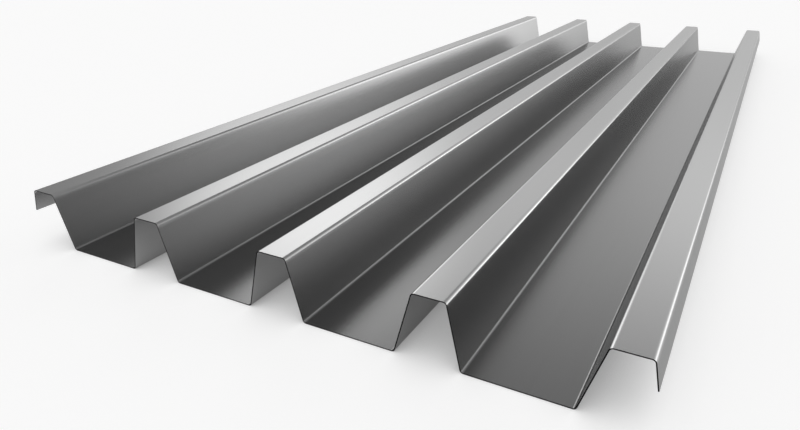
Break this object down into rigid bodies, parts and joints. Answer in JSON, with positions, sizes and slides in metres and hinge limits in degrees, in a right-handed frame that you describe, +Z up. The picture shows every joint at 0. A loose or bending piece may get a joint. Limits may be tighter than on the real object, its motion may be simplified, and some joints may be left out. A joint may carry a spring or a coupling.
{
  "type": "composite floor deck sheet",
  "caption": "Roll-formed galvanised steel deck sheet with trapezoidal ribs, flat troughs and a lipped lap rib along each side edge.",
  "frame": {"origin": "centre of the sheet's length and width, in the plane of the trough undersides, which the sheet rests on", "axes": "+X across the ribs, +Y along the ribs, +Z up from the bearing plane to the rib crests"},
  "size_m": [0.803, 2.05, 0.0758],
  "materials": {
    "galvanised_steel": "smooth bright zinc coating, semi-gloss, with bare grey steel on the cut edges"
  },
  "bodies": {
    "root": {"deck_sheet": "galvanised_steel"}
  },
  "joints": []
}
